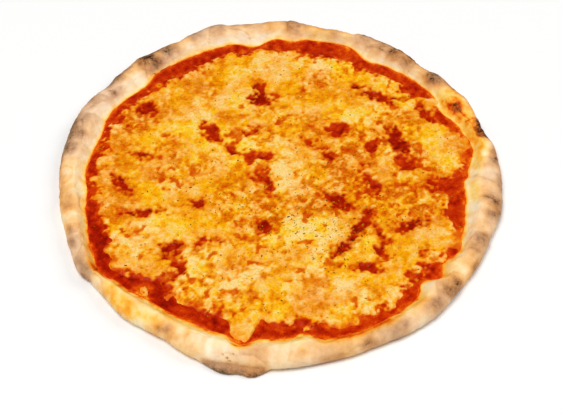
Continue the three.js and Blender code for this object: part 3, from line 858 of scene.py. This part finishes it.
# Where shreds lie side by side: (x, y, half length, half width, turn, direction in degrees).
combed = [(24, -38, 44, 24, 25, 28), (-40, 40, 20, 24, 0, 70), (60, 70, 30, 14, -40, -42)]
rasterStep = 0.4
rasterHalf = 140.0


def blurred(image, sizeMm):
    # Gaussian blur of a raster
    n = image.shape[0]
    k = np.fft.fftfreq(n)[:, None] ** 2 + np.fft.rfftfreq(n)[None, :] ** 2
    spread = sizeMm / rasterStep
    return np.fft.irfft2(np.fft.rfft2(image) * np.exp(-2 * math.pi**2 * spread**2 * k), s=image.shape)


def paintCurds():
    # rasters of each shred's own tint, milkiness and domed height
    n = int(2 * rasterHalf / rasterStep)
    tint, milk, rise = np.zeros((n, n)), np.zeros((n, n)), np.zeros((n, n))
    dice = np.random.default_rng(curds["seed"])
    for _ in range(curds["count"]):
        radius = curds["radius"] * math.sqrt(dice.random())
        around = dice.random() * 2 * math.pi
        cx, cy = radius * math.cos(around), radius * math.sin(around)
        turn = dice.random() * math.pi
        spread = dice.normal() * 14.0
        share = dice.random()
        low, high = curds["length"]
        halfLength = 0.5 * low * (high / low) ** (share * share)
        for x, y, a, b, lie, direction in combed:
            if insideEllipse(cx, cy, x, y, a, b, lie) > 0 and share > 0.45:
                turn = math.radians(direction + spread)
        halfWidth = dice.uniform(*curds["width"]) / 2
        height = dice.uniform(*curds["rise"])
        bend = dice.uniform(-0.06, 0.06)
        shade, creamy = dice.normal(), dice.normal()
        reach = halfLength + halfWidth
        i0, i1 = (int(min(max(0, (c + rasterHalf) / rasterStep), n)) for c in (cx - reach, cx + reach + 1))
        j0, j1 = (int(min(max(0, (c + rasterHalf) / rasterStep), n)) for c in (cy - reach, cy + reach + 1))
        if i0 >= i1 or j0 >= j1:
            continue
        gx = (np.arange(i0, i1) + 0.5) * rasterStep - rasterHalf - cx
        gy = (np.arange(j0, j1) + 0.5) * rasterStep - rasterHalf - cy
        ux = gx[None, :] * math.cos(turn) + gy[:, None] * math.sin(turn)
        uy = gy[:, None] * math.cos(turn) - gx[None, :] * math.sin(turn) + bend * ux**2
        away = np.hypot(np.maximum(np.abs(ux) - (halfLength - halfWidth), 0.0), uy) / halfWidth
        veil = curds["cover"] * smooth(1.0, curds["edge"], away)
        dome = height * np.sqrt(np.maximum(0.0, 1.0 - away**2))
        for raster, value in ((tint, shade), (milk, creamy), (rise, dome)):
            part = raster[j0:j1, i0:i1]
            part += veil * (value - part)
    return tint, milk, rise


def sampled(raster, x, y):
    n = raster.shape[0]
    px = np.clip((x + rasterHalf) / rasterStep - 0.5, 0, n - 1.001)
    py = np.clip((y + rasterHalf) / rasterStep - 0.5, 0, n - 1.001)
    i, j = px.astype(int), py.astype(int)
    fx, fy = px - i, py - j
    top = raster[j, i] * (1 - fx) + raster[j, i + 1] * fx
    low = raster[j + 1, i] * (1 - fx) + raster[j + 1, i + 1] * fx
    return top * (1 - fy) + low * fy


# Places where the melt differs: (x, y, half length, half width, turn, paler, milkier).
cheesePatches = [
    (-74, 43, 15, 13, 0, 1.5, -0.3), (-85, 36, 13, 8, 20, 1.3, -0.2), (-28, 70, 20, 14, 0, 0.7, 0.7),
    (-8, 106, 14, 10, 0, 0.5, 0.8), (-45, 86, 16, 9, 0, -0.2, -0.8), (-100, 66, 10, 9, 0, -0.7, -0.5),
    (-108, 38, 8, 16, 0, -1.0, 0.1), (-76, 12, 18, 8, 0, -0.7, -0.5), (-60, 12, 12, 8, 0, 0.6, -0.4),
    (-95, 50, 8, 8, 0, -0.3, 1.0), (-36, 52, 12, 8, 30, -0.5, 0.2), (51, 97, 19, 12, -25, -0.1, -3.0),
    (88, 68, 12, 9, 20, 0.2, -3.0), (20, 60, 20, 12, 0, 0.6, 0.5), (58, 52, 16, 10, 0, 0.4, 0.5),
    (8, 80, 14, 9, 0, 0.1, -1.0), (30, 100, 14, 9, 0, 0.2, 0.3), (32, 72, 14, 7, 30, -0.5, 0.0),
    (106, 30, 14, 12, 0, 0.0, -0.5), (70, 12, 18, 16, 0, -1.0, 0.6), (96, 22, 8, 16, 0, -0.6, 0.7),
    (8, -4, 14, 22, -8, 1.2, 0.7), (22, -48, 30, 15, 12, 1.2, 0.1), (50, -12, 11, 11, 0, 0.5, -1.4),
    (56, -22, 9, 7, 0, 0.3, -1.2), (96, -19, 9, 8, 0, 0.9, -0.4), (24, -74, 18, 9, 0, 0.9, 0.1),
    (36, -95, 30, 13, 5, 0.8, 1.0), (8, -102, 14, 9, 0, 0.2, 0.0), (76, -68, 14, 12, 0, -0.3, -0.4),
    (78, -16, 12, 10, 0, -0.8, 0.9), (56, -58, 8, 7, 0, 0.5, -0.5), (-8, -12, 12, 16, 0, -1.3, -0.2),
    (-35, -12, 15, 14, 0, -1.1, -0.9), (-36, -42, 16, 10, 0, -0.4, -1.2), (-80, -14, 18, 11, 0, 0.5, -0.9),
    (-64, -49, 10, 9, 0, 0.8, -0.1), (-90, -43, 9, 8, 0, 0.3, 1.0), (-92, -62, 12, 8, 0, 0.4, -0.3),
    (-105, -40, 8, 16, 15, -0.4, -0.8), (-53, -69, 12, 9, 0, 0.6, 1.0), (-20, -86, 20, 12, 0, 0.8, 0.2),
    (-54, -95, 16, 7, -5, 0.7, 0.2), (-20, -60, 16, 9, 0, 0.0, -0.6), (12, -22, 16, 7, 0, -0.2, -0.6),
    (-20, -124, 9, 14, 0, 0.1, 1.3), (70, 40, 10, 8, 0, -0.5, 0.2), (110, 5, 8, 12, 0, -0.2, 0.2),
]


# Where the melt has run further out than elsewhere, as (angle, half span, mm).
edgeRuns = [(30, 7, 4.0), (12, 9, 2.0), (238, 13, 2.5), (250, 6, 3.0)]
# Where its edge has soaked up little sauce, as (angle, half span, share).
dryEdges = [
    (31, 8, 0.9), (12, 11, 0.75), (260, 10, 0.85), (238, 14, 0.5), (288, 9, 0.4), (334, 8, 0.5),
    (213, 8, 0.5),
]


def cheeseFields(x, y):
    # how far inside the cheese a point is, the height of the melt over the sauce, and its three tints
    tintRaster, milkRaster, riseRaster = paintCurds()
    stirX, stirY = 5.0 * cloud(92, 9.0, x, y, octaves=3), 5.0 * cloud(94, 9.0, x, y, octaves=3)
    angle = angleOf(x, y)
    tongue = smooth(118.0, 124.0, np.hypot(x, y)) * smooth(12.0, 7.0, turnBetween(angle, 260.0))
    sx, sy = x + stirX * (1 - tongue), y + stirY * (1 - tongue)
    outer = outerCover(sx, sy) + cheeseForm["ragged"] * (1 - 0.6 * tongue) * cloud(91, 7.0, x, y, octaves=3)
    outer = outer + cheeseForm["run"] - 0.9 * tongue + sumOfBumps(edgeRuns, angle)
    smear, darkness = smearAt(sx, sy)
    torn = evenCloud(95, 5.0, x, y, octaves=3) + 0.6 * evenCloud(98, 2.2, x, y)
    smear = smear - cheeseForm["closing"] + cheeseForm["tear"] * torn
    soaked = smooth(-5.5, 1.5, smear)
    bits = smooth(0.1, 0.5, cloud(99, 3.0, x, y, octaves=2))  # scraps of cheese left on the smears
    cover = np.minimum(outer, 2.0 - smear + 1.6 * bits)
    inside = np.clip(cover / cheeseForm["edgeWidth"], -1.0, 1.0)
    body = np.where(inside > 0, smooth(0.0, 1.0, inside) ** 0.7, 1.6 * inside)
    busy = 0.6 + 0.9 * smooth(-0.35, 0.35, cloud(203, 26.0, x, y, octaves=2))
    tone = 0.85 * busy * sampled(blurred(tintRaster, 0.3), x, y)
    fine = tone
    relief = sampled(blurred(riseRaster, 0.35), x, y)
    for k, (size, tint, rise) in enumerate(cheeseForm["lumps"]):
        lump = evenCloud(111 + 7 * k, size, x, y)
        small = size < 8.0
        tone = tone + tint * lump * (busy if small else 1.0)
        fine = fine + (tint * lump if small else 0.0)
        relief += cheeseForm["relief"] * rise * lump
    milk = 0.9 * sampled(blurred(milkRaster, 0.25), x, y) + 0.4 * evenCloud(163, 14.0, x, y) + 0.7 * fine
    for cx, cy, halfLength, halfWidth, turn, toneShift, milkShift in cheesePatches:
        near = smooth(-0.1, 0.7, insideEllipse(x + stirX, y + stirY, cx, cy, halfLength, halfWidth, turn))
        tone = tone + near * toneShift * 1.2
        milk = milk + near * milkShift * 0.9
    # the dark areas are oily and mottled, not evenly tan
    broad = tone - fine
    tone = tone + 0.5 * fine * smooth(0.0, -1.6, broad)
    milk = milk + 0.35 * np.minimum(broad, 0.0)
    fromEdge = outer + 2.8 * evenCloud(97, 4.0, x, y, octaves=3) + 1.2 * fine
    edgeSoak = smooth(cheeseForm["edgeSoakMm"], 0.8, fromEdge) ** 1.4
    edgeSoak = edgeSoak * (1.0 - np.minimum(sumOfBumps(dryEdges, angle), 1.0))
    gap = smooth(0.12, 0.5, cloud(181, cheeseForm["gapMm"], x, y, octaves=2) + 0.2 * soaked)
    vein = thinLines(cloud(187, 9.0, x, y, octaves=3), 0.06)
    tone = tone - cheeseForm["soak"] * soaked - cheeseForm["gapDepth"] * gap * busy - 1.8 * edgeSoak
    tone = tone - cheeseForm["veinDepth"] * vein * busy
    relief = relief - 0.3 * gap
    milk = milk + 0.8 * smooth(9.0, 2.0, outer) - 0.9 * soaked - 0.5 * gap - 1.0 * edgeSoak
    soak = smooth(-6.0, 0.9, smear - 1.1 * fine) ** 1.4 * (1.0 - 0.5 * bits * smooth(2.6, 0.6, smear))
    sunk = 0.7 * smooth(0.35, 1.1, gap * busy) * smooth(-0.7, 0.4, evenCloud(99, 9.0, x, y))
    soak = np.maximum(np.maximum(soak, edgeSoak), sunk)
    height = cheeseForm["thickness"] * body * (1 - 0.45 * soaked) + relief * np.clip(inside * 1.5, 0.0, 1.0)
    shown = cover > 0.0
    return cover, height, ranked(tone, shown), ranked(milk, shown) ** 2.0, soak, sauceTone(x, y, darkness)


def cleanedMask(keep, side):
    # drops points that hang on one corner, so that the sheet's edge never crosses itself
    keep = keep.reshape(side, side).copy()
    for _ in range(6):
        face = keep[:-1, :-1] & keep[1:, :-1] & keep[:-1, 1:] & keep[1:, 1:]
        a, b, c, d = face[:-1, :-1], face[1:, 1:], face[1:, :-1], face[:-1, 1:]
        pinched = (a & b & ~c & ~d) | (c & d & ~a & ~b)
        used = np.zeros_like(keep)
        for part in (used[:-1, :-1], used[1:, :-1], used[:-1, 1:], used[1:, 1:]):
            part |= face
        keep &= used
        keep[1:-1, 1:-1] &= ~pinched
    return keep.ravel()


def makeCheese():
    width = 2 * cheeseForm["halfSize"]
    count = int(width / cheeseForm["pitch"])
    deselectAll()
    bpy.ops.mesh.primitive_grid_add(x_subdivisions=count, y_subdivisions=count, size=width * mm,
                                    location=(0, 0, cheeseBottom * mm))
    cheese = startPiece("meltedCheese")
    bpy.ops.object.transform_apply(location=True, rotation=True, scale=True)
    mesh = cheese.data
    co = pointsOf(mesh)
    x, y = co[:, 0], co[:, 1]
    cover, height, tone, milk, soak, under = cheeseFields(x, y)
    keep = cleanedMask(cover > -1.6, count + 1)
    placePoints(mesh, x, y, np.maximum(cheeseBottom - 0.1 + height, sauceTop - 0.9))
    setFields(mesh, tone=tone, milk=milk * (1.0 - soak), soak=soak, under=under)

    # what lies well off the cheese is removed, and the sheet is closed below
    selectPoints(mesh, ~keep)
    bpy.ops.mesh.delete(type="VERT")
    bpy.ops.mesh.select_all(action="DESELECT")
    bpy.ops.mesh.select_non_manifold(extend=False, use_wire=False, use_boundary=True,
                                     use_multi_face=False, use_non_contiguous=False, use_verts=False)
    bpy.ops.mesh.extrude_region_move(TRANSFORM_OT_translate={"value": (0, 0, -0.35 * mm)})
    bpy.ops.transform.resize(value=(1, 1, 0), center_override=(0, 0, cheeseForm["underside"] * mm))
    bpy.ops.mesh.fill(use_beauty=False)
    bpy.ops.mesh.select_all(action="SELECT")
    bpy.ops.mesh.normals_make_consistent(inside=False)
    bpy.ops.mesh.select_all(action="DESELECT")
    bpy.ops.object.mode_set(mode="OBJECT")
    bpy.ops.object.shade_smooth()
    finishPiece(cheese, "melted_cheese", meltedMozzarella(), "melted_cheese")
    return cheese


cheeseSheet = makeCheese()

# The scrap that lies apart from the sheet.
crumbForm = {
    "subdivisions": 5,
    "skin": 0.3,  # the relief stands out from the plain form by at most this much
    "flattened": 0.2,
    "domed": 0.92,
    "turn": 60.0,  # against the line from the middle of the pizza
}


def makeCrumb():
    turn = math.radians(cheeseCrumb["angle"] + crumbForm["turn"])
    deselectAll()
    bpy.ops.mesh.primitive_ico_sphere_add(subdivisions=crumbForm["subdivisions"], radius=0.5)
    crumb = startPiece("cheeseCrumb")
    mesh = crumb.data
    co = pointsOf(mesh) * mm
    swell = 1.0 + 0.34 * cloud(41, 0.3, co[:, 0], co[:, 1], co[:, 2], octaves=3)
    px = co[:, 0] * (cheeseCrumb["length"] - crumbForm["skin"]) * swell
    py = co[:, 1] * (cheeseCrumb["width"] - crumbForm["skin"]) * swell
    pz = np.maximum(co[:, 2] + crumbForm["flattened"], 0.0) * cheeseCrumb["height"] * crumbForm["domed"]
    pz = pz + 0.5 * cloud(43, 1.8, px, py, octaves=3) * smooth(0.2, 0.9, pz)
    centreX, centreY = placeAt(cheeseCrumb["radius"], cheeseCrumb["angle"])
    x = centreX + px * math.cos(turn) - py * math.sin(turn)
    y = centreY + px * math.sin(turn) + py * math.cos(turn)
    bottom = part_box("cheese_crumb")[0][2] / mm
    placePoints(mesh, *heldInBox("cheese_crumb", x, y, bottom + pz))
    bpy.ops.object.shade_smooth()
    fromBrown = np.hypot((px - 0.6) / 2.4, (py + 0.3) / 1.4)
    brown = smooth(1.1, 0.1, fromBrown + 0.7 * cloud(47, 1.5, px, py, octaves=2))
    tone = 0.55 + 0.5 * cloud(45, 2.0, px, py, octaves=2) - 0.6 * brown
    inwards = 1.0 - np.hypot(px / cheeseCrumb["length"], py / cheeseCrumb["width"]) * 2.0
    soak = smooth(0.55, 0.0, inwards + 0.35 * cloud(49, 1.6, px, py, octaves=2))
    setFields(mesh, tone=tone, milk=1.0 - brown, soak=soak, under=np.full_like(px, 0.85))
    finishPiece(crumb, "melted_cheese", bpy.data.materials["meltedMozzarella"], "cheese_crumb")


makeCrumb()


# Dried herbs and pepper, each flake its own little curled scrap.
herbs = {
    "count": 1500,
    "length": (0.5, 2.0),
    "seed": 23,
    # where they lie thickest: (x, y, spread, share of all)
    "drifts": [
        (24, -42, 24, 0.22), (-10, -30, 30, 0.12), (40, -60, 22, 0.1), (-40, -15, 26, 0.08),
        (60, -40, 18, 0.06),
    ],
    # the larger ones that stand out one by one: (x, y, length)
    "large": [
        (48, -55, 3.0), (-10, -69, 2.4), (7, -37, 2.2), (43, -77, 1.9), (2, 93, 1.9), (-57, -38, 2.2),
        (-58, -12, 2.4), (-56, -9, 1.8), (46, -53, 2.0), (9, -39, 1.7), (-27, 12, 1.6), (-60, -35, 1.8),
        (30, 30, 1.6), (52, 4, 1.7), (-38, -30, 1.6), (58, -52, 1.8), (28, -70, 1.7), (-28, 72, 1.6),
    ],
    "largeCount": 58,  # the solid's own flakes, found by the same rule
    "largeSize": 1.3,
    "largeRadius": 118.0,  # how far out they are scattered
    "radius": 128.0,
}


def drawn(index, channel):
    value = math.sin(index * 127.1 + channel * 311.7 + 7.3) * 43758.5453
    return value - math.floor(value)


def surfaceUnder(pieces, x, y):
    # height in mm of the topmost piece at a place of the outline
    start = Vector(((x - middle[0]) * mm, (y - middle[1]) * mm, 0.05))
    best = 0.0
    for piece in pieces:
        hit, point, normal, face = piece.ray_cast(start, Vector((0, 0, -1)))
        if hit:
            best = max(best, point.z / mm)
    return best


def makeHerbs(carriers):
    deselectAll()
    bpy.ops.mesh.primitive_ico_sphere_add(subdivisions=1, radius=1.0)
    model = startPiece("oneFlake")
    shape = np.array([v.co for v in model.data.vertices])
    faces = np.array([p.vertices for p in model.data.polygons])
    bpy.data.objects.remove(model)
    dice = np.random.default_rng(herbs["seed"])
    places = [(x, y, length, 0.9) for x, y, length in herbs["large"]]
    for i in range(herbs["largeCount"]):
        radius = herbs["largeRadius"] * math.sqrt(drawn(i, 0))
        around = 2 * math.pi * drawn(i, 1)
        size = herbs["largeSize"] * (0.75 + 0.5 * drawn(i, 2))
        places.append((radius * math.cos(around), radius * math.sin(around), size, dice.random()))
    shares = [share for x, y, spread, share in herbs["drifts"]]
    for _ in range(herbs["count"]):
        pick = dice.random()
        which = int(np.searchsorted(np.cumsum(shares), pick))
        if which < len(shares):
            x, y, spread, share = herbs["drifts"][which]
            px, py = dice.normal(x, spread), dice.normal(y, spread * 0.7)
        else:
            radius, around = herbs["radius"] * math.sqrt(dice.random()), 2 * math.pi * dice.random()
            px, py = radius * math.cos(around), radius * math.sin(around)
        low, high = herbs["length"]
        share = dice.random() ** 2
        places.append((px, py, low + (high - low) * share, dice.random() * (0.55 + 0.45 * share)))
    points, rings, tones = [], [], []
    for x, y, length, dark in places:
        width, thick = length * dice.uniform(0.25, 0.6), length * dice.uniform(0.12, 0.24)
        turn, curl = dice.uniform(0, 2 * math.pi), dice.uniform(-0.5, 0.5)
        jolt = 1.0 + 0.25 * dice.normal(size=shape.shape)
        local = shape * jolt * (length / 2, width / 2, thick / 2)
        local[:, 2] += curl * local[:, 0] ** 2 / length
        tilt = dice.uniform(-0.5, 0.5)
        local = np.stack([local[:, 0], local[:, 1] * math.cos(tilt) - local[:, 2] * math.sin(tilt),
                          local[:, 1] * math.sin(tilt) + local[:, 2] * math.cos(tilt)], axis=1)
        c, s = math.cos(turn), math.sin(turn)
        height = surfaceUnder(carriers, x, y)
        if height < dough["floorHeight"]:
            continue
        placed = np.stack([
            x - middle[0] + local[:, 0] * c - local[:, 1] * s,
            y - middle[1] + local[:, 0] * s + local[:, 1] * c,
            height + thick * 0.25 + local[:, 2],
        ], axis=1)
        rings.append(faces + len(shape) * len(points))
        points.append(placed * mm)
        tones.append(np.full(len(shape), np.clip(1.0 - dark + 0.15 * dice.normal(), 0, 1)))
    mesh = bpy.data.meshes.new("driedHerbs")
    mesh.from_pydata(np.concatenate(points).tolist(), [], np.concatenate(rings).tolist())
    piece = bpy.data.objects.new("driedHerbs", mesh)
    bpy.context.scene.collection.objects.link(piece)
    setFields(mesh, tone=np.concatenate(tones))
    finishPiece(piece, "melted_cheese", driedOregano())


makeHerbs([sauceFilm, cheeseSheet])


def makeFloor():
    deselectAll()
    bpy.ops.mesh.primitive_plane_add(size=6.0, location=(0, 0, -0.0002))
    floor = startPiece("floor")
    material, tree = newMaterial("paleStudioFloor")
    surface = addNode(tree, "BsdfPrincipled", {}, {
        "Base Color": linearColour("#F8F8F7"), "Roughness": 0.9, "Specular IOR Level": 0.1,
    })
    addNode(tree, "OutputMaterial", {}, {"Surface": surface})
    floor.data.materials.append(material)


makeFloor()

studio = {
    "worldStrength": 0.22,
    "lamps": [
        # name, place in m, size in m, watts
        ("overheadSoftbox", (-0.75, -0.7, 3.4), 1.8, 96.0),
        ("rightSoftbox", (2.3, 0.6, 2.2), 1.8, 30.0),
    ],
}


def makeStudio():
    world = bpy.data.worlds.new("studioWorld")
    bpy.context.scene.world = world
    world.use_nodes = True
    background = world.node_tree.nodes["Background"]
    background.inputs["Color"].default_value = linearColour("#FFFFFF")
    background.inputs["Strength"].default_value = studio["worldStrength"]
    for name, place, size, watts in studio["lamps"]:
        bpy.ops.object.light_add(type="AREA", location=place)
        lamp = bpy.context.object
        lamp.name = name
        lamp.data.size = size
        lamp.data.energy = watts
        lamp.rotation_mode = "QUATERNION"
        lamp.rotation_quaternion = (-Vector(place)).to_track_quat("-Z", "Y")


makeStudio()

viewpoint = {"lens": 85.0, "sensor": 36.0, "distance": 0.8746, "aim": (2.19, -28.18, 6.0)}


def makeCamera():
    aim = Vector(((viewpoint["aim"][0] - middle[0]) * mm, (viewpoint["aim"][1] - middle[1]) * mm,
                  viewpoint["aim"][2] * mm))
    rise = math.radians(cameraRise)
    back = Vector((0, -math.cos(rise), math.sin(rise)))
    bpy.ops.object.camera_add(location=aim + back * viewpoint["distance"])
    camera = bpy.context.object
    camera.name = "tableCamera"
    camera.data.lens = viewpoint["lens"]
    camera.data.sensor_width = viewpoint["sensor"]
    camera.rotation_mode = "QUATERNION"
    camera.rotation_quaternion = (-back).to_track_quat("-Z", "Y")
    bpy.context.scene.camera = camera


makeCamera()
bpy.context.scene.view_settings.view_transform = "Standard"
bpy.context.scene.view_settings.look = "None"
